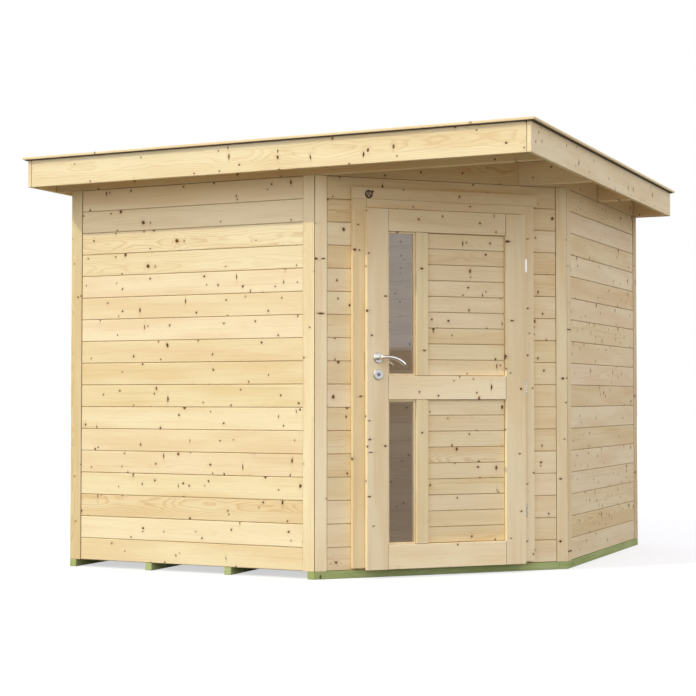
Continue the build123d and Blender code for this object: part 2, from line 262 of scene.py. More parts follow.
def late_wood_mask(tree, grain, halo):
    """The dark late wood of each growth ring, from 0 to 1.

    The rings run around the trunk's axis, bent by slow noise and pushed aside by knots.
    """
    split = add(tree, "ShaderNodeSeparateXYZ", {0: grain})
    across = calc(tree, "ADD", split.outputs[1], swing(tree, grain, (1.3, 4.0, 4.0), 0.03))
    through = calc(tree, "ADD", split.outputs[2], swing(tree, grain, (2.1, 2.0, 2.0), 0.022))
    section = add(tree, "ShaderNodeCombineXYZ", {"Y": across, "Z": through}).outputs[0]
    radius = add(tree, "ShaderNodeVectorMath", {0: section}, operation="LENGTH").outputs["Value"]
    pushed = calc(tree, "ADD", radius, calc(tree, "MULTIPLY", halo, RING_PUSH))
    growth = calc(tree, "ADD", calc(tree, "MULTIPLY", pushed, RINGS_PER_METRE),
                  swing(tree, grain, (4.0, 40.0, 40.0), 0.9))
    year = calc(tree, "FRACT", growth)
    return calc(tree, "MULTIPLY", fade(tree, year, 0.45, 0.92), fade(tree, year, 1.0, 0.94))


def wood_group(name, early, heart, late, knot_core, knot_ring, corner_shade):
    """Planed softwood, from coordinates in metres: x along the grain, y across and z through the board.

    Tone sets a board's shade: lighter towards 0, darker towards 1, and further where one member asks for it.
    Figure sets how clear its rings are.
    """
    tree = bpy.data.node_groups.new(name, "ShaderNodeTree")
    for socket, kind in (("Grain", "Vector"), ("Tone", "Float"), ("Figure", "Float")):
        tree.interface.new_socket(socket, in_out="INPUT", socket_type=f"NodeSocket{kind}")
    for socket, kind in (("Color", "Color"), ("Roughness", "Float"), ("Normal", "Vector")):
        tree.interface.new_socket(socket, in_out="OUTPUT", socket_type=f"NodeSocket{kind}")
    source = tree.nodes.new("NodeGroupInput")
    grain, tone, figure = (source.outputs[socket] for socket in ("Grain", "Tone", "Figure"))
    core, pith, rim, halo = knot_masks(tree, grain)
    late_wood = late_wood_mask(tree, grain, halo)
    fibre = noise(tree, grain, FIBRES, detail=3.0, roughness=0.65)
    cloud = noise(tree, grain, CLOUDS)
    streak = noise(tree, grain, STREAKS)

    # Early and late wood
    body = blend(tree, fade(tree, cloud, 0.32, 0.72), early, heart)
    body = blend(tree, calc(tree, "MULTIPLY", fade(tree, streak, 0.5, 0.8), 0.30), body, late)
    clear = fade(tree, figure, 0.0, 1.0, 0.09, 0.75)
    clear = calc(tree, "MULTIPLY", clear, fade(tree, cloud, 0.2, 0.6, 0.5, 1.0))
    body = blend(tree, calc(tree, "MULTIPLY", late_wood, clear), body, late)

    # The board's own shade
    grade = calc(tree, "ADD", calc(tree, "MULTIPLY_ADD", tone, -0.08, 1.035),
                 calc(tree, "MULTIPLY", calc(tree, "SUBTRACT", fibre, 0.5), 0.12))
    hue = calc(tree, "FRACT", calc(tree, "MULTIPLY", tone, 9.3))
    inputs = {"Hue": fade(tree, hue, 0.0, 1.0, 0.496, 0.502),
              "Saturation": fade(tree, tone, 0.0, 1.0, 0.94, 1.06), "Value": grade, "Color": body}
    shade = add(tree, "ShaderNodeHueSaturation", inputs).outputs[0]

    # Knots
    shade = blend(tree, calc(tree, "MULTIPLY", halo, 0.10), shade, knot_ring)
    shade = blend(tree, calc(tree, "MULTIPLY", rim, 0.34), shade, knot_ring)
    warm = fade(tree, noise(tree, grain, (9.0, 9.0, 0.0)), 0.54, 0.68)
    middle = blend(tree, calc(tree, "MULTIPLY", warm, 0.6), knot_core, knot_ring)
    middle = blend(tree, calc(tree, "MULTIPLY", pith, 0.45), middle, knot_ring)
    shade = blend(tree, calc(tree, "MULTIPLY", core, 0.97), shade, middle)

    # Painted shade in the joints and corners: the colour darkens where ambient occlusion finds other surfaces
    # close
    occlusion = add(tree, "ShaderNodeAmbientOcclusion", {"Distance": CORNER_SHADE_REACH}, samples=4).outputs["AO"]
    shade = blend(tree, fade(tree, occlusion, 0.82, 0.4, 0.0, 0.95), shade, corner_shade)

    height = calc(tree, "ADD", calc(tree, "MULTIPLY", fibre, 0.22), calc(tree, "MULTIPLY", late_wood, 0.2))
    height = calc(tree, "SUBTRACT", height, calc(tree, "MULTIPLY", core, 0.5))
    relief = add(tree, "ShaderNodeBump", {"Strength": 0.45, "Distance": 0.0008, "Height": height}).outputs[0]
    rough = calc(tree, "SUBTRACT", 0.64, calc(tree, "MULTIPLY", late_wood, 0.1))
    end = tree.nodes.new("NodeGroupOutput")
    for socket, value in (("Color", shade), ("Roughness", rough), ("Normal", relief)):
        tree.links.new(value, end.inputs[socket])
    return tree


# The last colour of each wood is the painted shade laid in its joints and corners
SPRUCE = wood_group("spruce_wood", early=colour(248, 229, 184), heart=colour(241, 216, 167),
                    late=colour(219, 184, 127), knot_core=colour(72, 38, 10), knot_ring=colour(168, 116, 64),
                    corner_shade=colour(118, 70, 28))
TREATED = wood_group("treated_wood", early=colour(186, 196, 132), heart=colour(164, 177, 108),
                     late=colour(132, 147, 78), knot_core=colour(84, 80, 42), knot_ring=colour(140, 142, 84),
                     corner_shade=colour(92, 96, 50))


def shader(name):
    """A new material, its tree and its surface shader."""
    material = bpy.data.materials.new(name)
    material.use_nodes = True
    tree = material.node_tree
    return material, tree, tree.nodes["Principled BSDF"]


def dress(tree, surface, group, grain, tone, figure):
    """Lay a wood group on a surface shader."""
    wood = add(tree, "ShaderNodeGroup", {"Grain": grain, "Tone": tone, "Figure": figure}, node_tree=group)
    for output, socket in (("Color", "Base Color"), ("Roughness", "Roughness"), ("Normal", "Normal")):
        tree.links.new(wood.outputs[output], surface.inputs[socket])
    surface.inputs["Specular IOR Level"].default_value = WOOD_GLOSS


def board_wood(name, group):
    """Wood for meshes that carry their own grain coordinates."""
    material, tree, surface = shader(name)
    grain = add(tree, "ShaderNodeAttribute", attribute_name="grain").outputs["Vector"]
    tone = add(tree, "ShaderNodeAttribute", attribute_name="tone").outputs["Fac"]
    figure = add(tree, "ShaderNodeAttribute", attribute_name="figure").outputs["Fac"]
    dress(tree, surface, group, grain, tone, figure)
    return material


# Turns from a member's own axes to its grain: along, across and through
UPRIGHT_GRAIN = Matrix(((0, 0, 1), (1, 0, 0), (0, 1, 0)))
LEVEL_GRAIN = Matrix(((1, 0, 0), (0, 0, 1), (0, -1, 0)))


def placed_wood(name, group, turn, upright, figure, tone):
    """Wood for a single member in place: turned about Z, with its grain level or upright."""
    material, tree, surface = shader(name)
    axes = UPRIGHT_GRAIN if upright else LEVEL_GRAIN
    lean = Matrix.Rotation(radians(draw.uniform(-PLACED_LEAN, PLACED_LEAN)), 3, "Y")
    rotation = lean @ axes @ Matrix.Rotation(-turn, 3, "Z")
    low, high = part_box(name.removesuffix("_wood"))
    middle = rotation @ ((low + high) / 2)
    cut = Vector((draw.uniform(-CUT_ALONG, CUT_ALONG), draw.uniform(-PLACED_ASIDE, PLACED_ASIDE),
                  draw.uniform(*PLACED_BEHIND)))
    place = add(tree, "ShaderNodeTexCoord").outputs["Object"]
    inputs = {"Vector": place, "Rotation": rotation.to_euler(), "Location": cut - middle}
    grain = add(tree, "ShaderNodeMapping", inputs).outputs[0]
    dress(tree, surface, group, grain, tone, figure)
    return material


SPRUCE_BOARDS = board_wood("spruce_boards", SPRUCE)
TREATED_BOARDS = board_wood("treated_boards", TREATED)


def skin(mesh, rings):
    """A closed solid over rings of points, one after the other, each with as many points."""
    for lower, upper in zip(rings, rings[1:]):
        for number in range(len(lower)):
            after = (number + 1) % len(lower)
            mesh.faces.new((lower[number], lower[after], upper[after], upper[number]))
    mesh.faces.new(rings[0])
    mesh.faces.new(rings[-1])


def around(count):
    """Angles of points spaced evenly around a circle."""
    return [2 * pi * number / count for number in range(count)]


def corners_of(points):
    """Lowest and highest corner of the box around some points."""
    return (Vector([min(point[axis] for point in points) for axis in range(3)]),
            Vector([max(point[axis] for point in points) for axis in range(3)]))


def link_piece(name, mesh, material, body, slot, *replaced):
    """An object of the house from a bmesh, riding on its body."""
    bmesh.ops.recalc_face_normals(mesh, faces=mesh.faces)
    data = bpy.data.meshes.new(name)
    mesh.to_mesh(data)
    mesh.free()
    data.materials.append(material)
    made = bpy.data.objects.new(name, data)
    bpy.context.scene.collection.objects.link(made)
    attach(made, body)
    if replaced:
        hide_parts(*replaced)
    return made


class Timber:
    """Boards gathered into one mesh, each with its own grain, tone and figure."""

    def __init__(self):
        self.mesh = bmesh.new()
        self.grain = self.mesh.verts.layers.float_vector.new("grain")
        self.tone = self.mesh.verts.layers.float.new("tone")
        self.figure = self.mesh.verts.layers.float.new("figure")

    def mark(self, points, along, across, through, figure=None, tone=None):
        """Give one board its grain coordinates, with the trunk's axis a little aslant behind it."""
        middle = sum((point.co for point in points), Vector()) / len(points)
        start = draw.uniform(-CUT_ALONG, CUT_ALONG)
        aside = draw.uniform(-CUT_ASIDE, CUT_ASIDE)
        behind = draw.uniform(*CUT_BEHIND)
        lean = draw.uniform(-CUT_LEAN, CUT_LEAN)
        tone = draw.random() if tone is None else tone
        figure = MOST_FIGURE * draw.random() ** 4 if figure is None else figure
        for point in points:
            away = point.co - middle
            length = away.dot(along)
            depth = behind + away.dot(through) + lean * length
            point[self.grain] = (start + length, aside + away.dot(across), depth)
            point[self.tone] = tone
            point[self.figure] = figure

    def solid(self, outline, sweep):
        """A closed outline of points, swept by a vector."""
        rings = [[self.mesh.verts.new(point + way) for point in outline] for way in (Vector(), sweep)]
        skin(self.mesh, rings)
        return rings[0] + rings[1]

    def level_board(self, solids, along, through):
        """One board with level grain, of one solid or of several that join, given as outline and sweep."""
        points = [point for outline, sweep in solids for point in self.solid(outline, sweep)]
        self.mark(points, along, through.cross(along), through)

    def piece(self, name, material, body, slot, *replaced):
        """Turn the boards into an object of the house."""
        return link_piece(name, self.mesh, material, body, slot, *replaced)


def local_box(node, turn):
    """Lowest and highest corner of a node in a frame turned about Z."""
    back = Matrix.Rotation(-turn, 3, "Z")
    return corners_of([back @ vertex.co for vertex in nodes[node].data.vertices])


def board_section(low, high, front, back):
    """Section of a tongue-and-groove board: across from low to high, through from front to back."""
    turned = 1 if back > front else -1
    rim, slit = JOINT_CHAMFER, JOINT_SLIT
    bottom, shoulder = front + JOINT_DEPTH * turned, front + rim * turned
    near = [(low, bottom), (low + slit, bottom), (low + slit, shoulder), (low + slit + rim, front),
            (high - slit - rim, front), (high - slit, shoulder), (high - slit, bottom), (high, bottom)]
    far = [(high, back - rim * turned), (high - rim, back), (low + rim, back), (low, back - rim * turned)]
    return near + far


def course_levels(low, high, foot, pitch):
    """Lower and upper edges of the board courses that show between two levels."""
    levels = []
    number = int((low - foot) / pitch + COURSE_SLACK)
    while foot + number * pitch < high - LEAST_COURSE:
        levels.append((max(low, foot + number * pitch), min(high, foot + (number + 1) * pitch)))
        number += 1
    return levels


def level_solid(rotation, levels, span, depth):
    """Outline and sweep of a level board between two levels, two ends and its front and back."""
    section = board_section(*levels, *depth)
    outline = [rotation @ Vector((span[0], through, across)) for across, through in section]
    return outline, rotation @ Vector((span[1] - span[0], 0, 0))


def wall_axes(rotation):
    """Directions along a wall and into the room."""
    return rotation @ Vector((1, 0, 0)), rotation @ Vector((0, 1, 0))


def board_wall(node, turn):
    """Level boards in the place of a plain wall."""
    low, high = local_box(node, turn)
    rotation = Matrix.Rotation(turn, 3, "Z")
    timber = Timber()
    for levels in course_levels(low.z, high.z, WALL_FOOT, BOARD_PITCH):
        span = (low.x + END_GAP, high.x - END_GAP)
        timber.level_board([level_solid(rotation, levels, span, (low.y, high.y))], *wall_axes(rotation))
    timber.piece(node + "_boards", SPRUCE_BOARDS, "house", "spruce", node)


def door_wall():
    """Level boards over the three parts of the door wall, each in one piece where it is over the door."""
    left_low, left_high = local_box("door_wall_left", DOOR_TURN)
    right_low, right_high = local_box("door_wall_right", DOOR_TURN)
    head_foot = local_box("door_wall_head", DOOR_TURN)[0].z
    left = (left_low.x + END_GAP, left_high.x)
    right = (right_low.x, right_high.x - END_GAP)
    depth = (left_low.y, left_high.y)
    rotation = Matrix.Rotation(DOOR_TURN, 3, "Z")
    timber = Timber()
    for bottom, top in course_levels(left_low.z, left_high.z, WALL_FOOT, BOARD_PITCH):
        sides = [level_solid(rotation, (bottom, top), span, depth) for span in (left, right)]
        if top > head_foot + JOINT_DEPTH:
            over_door = (max(bottom, head_foot), top)
            middle = level_solid(rotation, over_door, (left_high.x, right_low.x), depth)
            timber.level_board(sides + [middle], *wall_axes(rotation))
        else:
            for side in sides:
                timber.level_board([side], *wall_axes(rotation))
    timber.piece("door_wall_boards", SPRUCE_BOARDS, "house", "spruce",
                 "door_wall_left", "door_wall_right", "door_wall_head")


WALL_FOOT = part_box("front_wall")[0].z
for node, turn in WALL_TURNS.items():
    board_wall(node, turn)
door_wall()


def door_panels():
    """Boards in the two panels of the leaf, a whole number of courses in each."""
    low, high = local_box("door_panels", DOOR_TURN)
    rails = [vertex.co.z for vertex in nodes["door_rails"].data.vertices]
    middle = sorted(level for level in rails
                    if low.z + MIDDLE_RAIL_REACH < level < high.z - MIDDLE_RAIL_REACH)
    span = (low.x + PANEL_END_GAP, high.x - PANEL_END_GAP)
    rotation = Matrix.Rotation(DOOR_TURN, 3, "Z")
    timber = Timber()
    for bottom, top in ((low.z, middle[0]), (middle[-1], high.z)):
        count = round((top - bottom) / PANEL_PITCH)
        step = (top - bottom) / count
        for number in range(count):
            levels = (bottom + number * step, bottom + (number + 1) * step)
            timber.level_board([level_solid(rotation, levels, span, (low.y, high.y))], *wall_axes(rotation))
    timber.piece("door_panel_boards", SPRUCE_BOARDS, "door", "spruce", "door_panels")


door_panels()


def roof_boards():
    """Deck boards over the beams, from front to back, with their joints on the underside."""
    low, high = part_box("roof_deck")
    sweep = Vector((0, high.y - low.y, 0))
    timber = Timber()
    for left, right in course_levels(low.x, high.x, low.x, DECK_PITCH):
        section = board_section(left, right, low.z, high.z)
        outline = [Vector((across, low.y, through)) for across, through in section]
        timber.level_board([(outline, sweep)], Vector((0, 1, 0)), Vector((0, 0, 1)))
    timber.piece("roof_deck_boards", SPRUCE_BOARDS, "house", "spruce", "roof_deck")


roof_boards()


def clipped(outline, edge, inward):
    """The part of a plan outline on the inner side of a line."""
    kept = []
    for number, point in enumerate(outline):
        after = outline[(number + 1) % len(outline)]
        here, there = (point - edge).dot(inward), (after - edge).dot(inward)
        if here >= 0:
            kept.append(point)
        if here * there < 0:
            kept.append(point + (after - point) * (here / (here - there)))
    return kept


def floor_planks():
    """Floor boards from side to side, cut along the door wall."""
    low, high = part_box("floor_boards")
    door_edge = local_box("floor_boards", DOOR_TURN)[0].y
    inward = Vector((-sin(DOOR_TURN), cos(DOOR_TURN), 0))
    edge = inward * door_edge
    thickness = Vector((0, 0, high.z - low.z))
    timber = Timber()
    for front, back in course_levels(low.y, high.y, low.y, FLOOR_PITCH):
        front, back = front + JOINT_SLIT, back - JOINT_SLIT
        outline = [Vector((low.x, front, low.z)), Vector((high.x, front, low.z)),
                   Vector((high.x, back, low.z)), Vector((low.x, back, low.z))]
        solid = (clipped(outline, edge, inward), thickness)
        timber.level_board([solid], Vector((1, 0, 0)), Vector((0, 0, 1)))
    timber.piece("floor_planks", SPRUCE_BOARDS, "house", "spruce", "floor_boards")


floor_planks()


def soften(piece, welded=False):
    """Round a piece's edges a little."""
    if welded:
        piece.modifiers.new("weld", "WELD").merge_threshold = WELD_REACH
    bevel = piece.modifiers.new("soft_edges", "BEVEL")
    bevel.width = EDGE_ROUND
    bevel.segments = EDGE_STEPS
    bevel.limit_method = "ANGLE"
    bevel.angle_limit = ROUNDED_ANGLE


def ring_corners(low, high, inset):
    """Corners of a level rectangle, set in from a box, at its foot."""
    return [Vector((low.x + inset, low.y + inset, low.z)), Vector((high.x - inset, low.y + inset, low.z)),
            Vector((high.x - inset, high.y - inset, low.z)), Vector((low.x + inset, high.y - inset, low.z))]


def edge_laths():
    """Four mitred laths around the roof's edge."""
    low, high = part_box("roof_edge_laths")
    outer = ring_corners(low, high, 0.0)
    inner = ring_corners(low, high, LATH_WIDTH)
    rise = Vector((0, 0, high.z - low.z))
    timber = Timber()
    for number in range(4):
        after = (number + 1) % 4
        outline = [outer[number], outer[after], inner[after], inner[number]]
        along = (outer[after] - outer[number]).normalized()
        timber.level_board([(outline, rise)], along, Vector((0, 0, 1)))
    laths = timber.piece("roof_edge_lath_set", SPRUCE_BOARDS, "house", "spruce", "roof_edge_laths")
    soften(laths)


# The laths reach from the roof's rim in over the felt
LATH_WIDTH = max(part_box("roof_edge_laths")[1].x - vertex.co.x
                 for vertex in nodes["roof_edge_laths"].data.vertices if vertex.co.x > 0)
edge_laths()


def welded_mesh(node):
    """A node's mesh with its corners joined."""
    whole = bmesh.new()
    whole.from_mesh(nodes[node].data)
    bmesh.ops.remove_doubles(whole, verts=whole.verts, dist=WELD_REACH)
    return whole


def order_of(solid):
    """Where a solid comes when solids go from left to right and then upwards, to the millimetre."""
    middle = sum((vertex.co for vertex in solid), Vector()) / len(solid)
    return [round(way, 3) for way in (middle.x, middle.z, middle.y)]


def islands(mesh):
    """The vertices of each separate solid, with the solids from left to right and then upwards."""
    found = set()
    solids = []
    for seed in mesh.verts:
        if seed in found:
            continue
        found.add(seed)
        reached = [seed]
        for vertex in reached:
            for edge in vertex.link_edges:
                other = edge.other_vert(vertex)
                if other not in found:
                    found.add(other)
                    reached.append(other)
        solids.append(reached)
    return sorted(solids, key=order_of)


def solids_with_grain(node, material, body, slot, end_gap=0.0, figure=None, tones=()):
    """A node of several members as boards, each with the grain along its longest edge.

    Tones go to its solids in order, from left to right and then upwards.
    """
    whole = welded_mesh(node)
    bmesh.ops.dissolve_limit(whole, angle_limit=FLAT_ANGLE, verts=whole.verts, edges=whole.edges)
    timber = Timber()
    copies = {}
    groups = islands(whole)
    for reached, tone in zip(groups, list(tones) + [None] * len(groups)):
        for vertex in reached:
            copies[vertex] = timber.mesh.verts.new(vertex.co)
        edges = [edge for vertex in reached for edge in vertex.link_edges]
        longest = max(edges, key=lambda edge: (round(edge.calc_length(), 4), round(edge.verts[0].co.x, 4)))
        along = (longest.verts[1].co - longest.verts[0].co).normalized()
        helper = Vector((0, 0, 1)) if abs(along.z) < 0.5 else Vector((1, 0, 0))
        through = along.cross(helper).normalized()
        points = [copies[vertex] for vertex in reached]
        ends = [max(point.co.dot(along) for point in points), min(point.co.dot(along) for point in points)]
        for point in points:
            for end, way in zip(ends, (-1, 1)):
                if abs(point.co.dot(along) - end) < WELD_REACH:
                    point.co += along * end_gap * way
        timber.mark(points, along, through.cross(along), through, figure, tone)
    for face in whole.faces:
        timber.mesh.faces.new([copies[vertex] for vertex in face.verts])
    whole.free()
    soften(timber.piece(node + "_members", material, body, slot, node))


# Nodes of several members, or with ends that show: body, gap at the ends, figure and tones where they are set
MEMBERS = (
    ("roof_beams", "house", 0.0, None, ()),
    ("head_boards", "house", 0.0, None, ()),
    ("front_corner_post", "house", 0.0, 0.2, (0.3, -1.2)),
    ("side_corner_post", "house", 0.0, 0.2, (0.4, 0.5)),
    ("front_fascia", "house", FASCIA_END_GAP, 0.5, (0.4,)),
    ("back_fascia", "house", FASCIA_END_GAP, 0.3, (0.4,)),
    # The lower and middle rails are set lighter: painted light, standing in for the grazing sun at the door's
    # foot
    ("door_rails", "door", RAIL_END_GAP, None, (-1.0, -0.9, 0.4)),
    ("door_mullions", "door", RAIL_END_GAP, None, ()),
    ("door_stile_lock", "door", 0.0, 0.6, (0.07,)),
    ("door_stile_hinge", "door", 0.0, 0.3, (0.2,)),
    ("architrave_left", "house", 0.0, 0.2, (1.0,)),
)
for node, body, end_gap, figure, tones in MEMBERS:
    solids_with_grain(node, SPRUCE_BOARDS, body, "spruce", end_gap, figure, tones)
solids_with_grain("floor_bearers", TREATED_BOARDS, "house", "treated_spruce")

# Single members that stay as they are in the model: the turn of their grain, whether it is upright, its
# figure and its tone
PLACED = {
    "front_left_post": (0.0, True, 0.55, 1.9),
    "back_left_post": (radians(270), True, 0.2, 0.6),
    "back_right_post": (radians(90), True, 0.3, 2.4),
    "left_fascia": (radians(90), False, 0.3, 0.5),
    "right_fascia": (radians(90), False, 0.15, 0.2),
    "door_frame_left": (DOOR_TURN, True, 0.1, 0.4),
    "door_frame_right": (DOOR_TURN, True, 0.1, 0.3),
    "door_frame_head": (DOOR_TURN, False, 0.1, 0.5),
    "door_threshold": (DOOR_TURN, False, 0.2, 0.5),
    "architrave_right": (DOOR_TURN, True, 0.1, 0.2),
    "architrave_head": (DOOR_TURN, False, 0.15, 0.3),
    "glazing_beads": (DOOR_TURN, True, 0.1, 0.3),
}


def give(node, material):
    """Put a material on a CAD node."""
    target = nodes[node]
    target.data.materials.clear()
    target.data.materials.append(material)


def large_knot(material, node):
    """Lay a round dark knot with a paler middle near the left end of a board over the door."""
    tree = material.node_tree
    surface = tree.nodes["Principled BSDF"]
    wood = surface.inputs["Base Color"].links[0].from_socket
    low, high = local_box(node, DOOR_TURN)
    height = (low.z + high.z) / 2 - KNOT_UNDER_MIDDLE
    centre = Matrix.Rotation(DOOR_TURN, 3, "Z") @ Vector((low.x + KNOT_FROM_END, low.y, height))
    place = add(tree, "ShaderNodeTexCoord").outputs["Object"]
    away = add(tree, "ShaderNodeVectorMath", {0: place, 1: centre}, operation="DISTANCE").outputs["Value"]
    ragged = calc(tree, "ADD", away, swing(tree, place, (90.0, 90.0, 90.0), 0.0022))
    share = calc(tree, "DIVIDE", ragged, KNOT_RADIUS)
    flecks = fade(tree, noise(tree, place, (120.0, 120.0, 120.0), detail=3.0), 0.34, 0.56)
    middle = blend(tree, flecks, colour(84, 62, 46), colour(204, 178, 152))
    knot = blend(tree, fade(tree, share, 0.62, 0.84), middle, colour(56, 39, 27))
    tint = blend(tree, fade(tree, share, 1.06, 0.95), wood, knot)
    tree.links.new(tint, surface.inputs["Base Color"])


for node, (turn, upright, figure, tone) in PLACED.items():
    give(node, placed_wood(node + "_wood", SPRUCE, turn, upright, figure, tone))
    if node != "glazing_beads":
        soften(nodes[node], welded=True)
large_knot(nodes["architrave_head"].data.materials[0], "architrave_head")
give("corner_bearer", placed_wood("corner_bearer_wood", TREATED, DOOR_TURN, False, 0.3, 0.4))
soften(nodes["corner_bearer"], welded=True)


def felt_material():
    """Bitumen felt with a fine mineral grit."""
    material, tree, surface = shader("grit_felt")
    place = add(tree, "ShaderNodeTexCoord").outputs["Object"]
    grit = noise(tree, place, (900.0, 900.0, 900.0), roughness=0.7)
    patch = noise(tree, place, (2.2, 2.2, 2.2), detail=3.0)
    tint = blend(tree, fade(tree, grit, 0.35, 0.65), colour(54, 53, 49), colour(108, 106, 99))
    tint = blend(tree, fade(tree, patch, 0.4, 0.7, 0.0, 0.35), tint, colour(82, 80, 72))
    tree.links.new(tint, surface.inputs["Base Color"])
    tree.links.new(fade(tree, grit, 0.0, 1.0, 0.98, 0.8), surface.inputs["Roughness"])
    relief = add(tree, "ShaderNodeBump", {"Strength": 0.7, "Distance": 0.0012, "Height": grit}).outputs[0]
    tree.links.new(relief, surface.inputs["Normal"])
    return material


def steel_material(name, dark, bright, least, most):
    """Steel with a fine brushed grain, between two colours and two roughnesses."""
    material, tree, surface = shader(name)
    surface.inputs["Metallic"].default_value = 1.0
    place = add(tree, "ShaderNodeTexCoord").outputs["Object"]
    brushed = noise(tree, place, (400.0, 400.0, 3000.0))
    tree.links.new(blend(tree, brushed, dark, bright), surface.inputs["Base Color"])
    tree.links.new(fade(tree, brushed, 0.2, 0.8, least, most), surface.inputs["Roughness"])
    return material


STEEL = steel_material("satin_steel", colour(222, 216, 204), colour(248, 243, 232), 0.16, 0.3)
ZINC = steel_material("zinc_coated_steel", colour(150, 152, 154), colour(196, 198, 200), 0.35, 0.55)
LOCK_STEEL = steel_material("lock_steel", colour(120, 120, 124), colour(158, 158, 162), 0.3, 0.45)
for node in ("hinge_frame_halves", "hinge_leaf_halves", "handle_rosettes", "strike_plate"):
    give(node, STEEL)
give("lock_cylinder", LOCK_STEEL)


FELT = felt_material()


def felt_edge():
    """The folded edge of the felt, nailed under the laths along the tops of the fascias; its dark edge also
    stands in for the shadow line that falls under the laths.
    """
    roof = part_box("roof_edge_laths")[0]
    low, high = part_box("left_fascia")[0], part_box("right_fascia")[1]
    low, high = Vector((low.x, low.y, roof.z)), Vector((high.x, high.y, roof.z))
    outer = ring_corners(low, high, -FOLD_REACH)
    inner = ring_corners(low, high, -FOLD_PLAY)
    mesh = bmesh.new()
    for number in range(4):
        after = (number + 1) % 4
        outline = [outer[number], outer[after], inner[after], inner[number]]
        skin(mesh, [[mesh.verts.new(point - Vector((0, 0, under))) for point in outline]
                    for under in (FOLD_PLAY, FOLD_HEIGHT)])
    link_piece("roof_felt_edge", mesh, FELT, "house", "roof_felt")


felt_edge()


def felt_sheets():
    """Sheets of felt from left to right, each lapped over the one in front of it."""
    low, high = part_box("roof_felt")
    exposed = (high.y - low.y - FELT_LAP) / FELT_SHEETS
    mesh = bmesh.new()
    for number in range(FELT_SHEETS):
        front = low.y + number * exposed
        back = front + exposed + FELT_LAP
        lift = FELT_STEP if number else 0.0
        tops = [(front, lift), (front + FELT_LAP, lift), (front + FELT_LAP + FELT_LAP / 2, 0.0), (back, 0.0)]
        section = [(y, high.z + way) for y, way in tops] + [(y, low.z + way) for y, way in reversed(tops)]
        skin(mesh, [[mesh.verts.new((x, y, z)) for y, z in section] for x in (low.x, high.x)])
    link_piece("roof_felt_sheets", mesh, FELT, "house", "roof_felt", "roof_felt")
    return [low.y + number * exposed for number in range(1, FELT_SHEETS)]


def revolved(mesh, place, axis, profile, corners=HEAD_CORNERS):
    """A small round form about an axis: rings of a radius and a height, closed at both ends."""
    turn = axis.to_track_quat("Z", "Y").to_matrix()
    skin(mesh, [[mesh.verts.new(place + turn @ Vector((radius * cos(angle), radius * sin(angle), height)))
                 for angle in around(corners)] for radius, height in profile])


def head(mesh, form, place, axis, radius):
    """The head of a nail or a screw."""
    revolved(mesh, place, axis, [(radius * share, height) for share, height in form])


def spaced(first, last, pitch):
    """Places between two ends, close to a pitch apart."""
    count = round((last - first) / pitch)
    return [first + (last - first) * number / count for number in range(count + 1)]


def roof_nails(laps):
    """Flat nails along the laps of the felt and pins along the laths."""
    low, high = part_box("roof_felt")
    mesh = bmesh.new()
    up = Vector((0, 0, 1))
    for lap in laps:
        for x in spaced(low.x + LATH_WIDTH, high.x - LATH_WIDTH, NAIL_PITCH):
            head(mesh, NAIL_HEAD, Vector((x, lap + FELT_LAP / 3, high.z + FELT_STEP)), up, NAIL_RADIUS)
    low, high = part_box("roof_edge_laths")
    left, right = low.x + LATH_WIDTH / 2, high.x - LATH_WIDTH / 2
    front, back = low.y + LATH_WIDTH / 2, high.y - LATH_WIDTH / 2
    pins = [(x, y) for x in spaced(left, right, LATH_NAIL_PITCH) for y in (front, back)]
    pins += [(x, y) for y in spaced(front, back, LATH_NAIL_PITCH)[1:-1] for x in (left, right)]
    for x, y in pins:
        head(mesh, NAIL_HEAD, Vector((x, y, high.z - LATH_NAIL_SINK)), up, LATH_NAIL_RADIUS)
    link_piece("roof_nails", mesh, ZINC, "house", "steel")


roof_nails(felt_sheets())


def loose_parts(node, turn):
    """Lowest and highest corner of each solid of a node in a frame turned about Z, from the lowest up."""
    whole = welded_mesh(node)
    back = Matrix.Rotation(-turn, 3, "Z")
    boxes = [corners_of([back @ vertex.co for vertex in solid]) for solid in islands(whole)]
    whole.free()
    return sorted(boxes, key=lambda box: round(box[0].z, 4))


def lever_route(reach):
    """Points of the bar's middle line, as distances along the door, out of it and up."""
    rise = Vector((cos(GRIP_RISE), 0, sin(GRIP_RISE)))
    outwards = Vector((0, 1, 0))
    points = [outwards * LEVER_PLAY]
    for step in range(BAR_CORNER_STEPS + 1):
        angle = pi / 2 * step / BAR_CORNER_STEPS
        points.append(rise * BAR_CORNER * (1 - cos(angle))
                      + outwards * (reach - BAR_CORNER + BAR_CORNER * sin(angle)))
    start = points[-1]
    angle = GRIP_RISE
    while True:
        angle -= GRIP_STEP
        ahead = Vector((sin(GRIP_RISE) - sin(angle), 0, cos(angle) - cos(GRIP_RISE)))
        point = start + GRIP_RADIUS * ahead
        if point.x > GRIP_LENGTH:
            return points
        points.append(point)


def swept_bar(mesh, route, place):
    """A round bar along a route, with a small edge at its end. Place moves a point to the house's frame."""
    ways = [(after - before).normalized() for before, after in zip(route, route[1:])]
    joints = [(first + second).normalized() for first, second in zip(ways, ways[1:])]
    tangents = [ways[0]] + joints + [ways[-1], ways[-1]]
    radii = [BAR_RADIUS] * len(route) + [BAR_RADIUS - TIP_EDGE]
    points = route + [route[-1] + ways[-1] * TIP_EDGE]
    normal = Vector((0, 0, 1))
    rings = []
    for point, tangent, radius in zip(points, tangents, radii):
        normal = (normal - tangent * normal.dot(tangent)).normalized()
        across = tangent.cross(normal)
        rings.append([mesh.verts.new(place(point + radius * (cos(angle) * normal + sin(angle) * across)))
                      for angle in around(BAR_SIDES)])
    skin(mesh, rings)


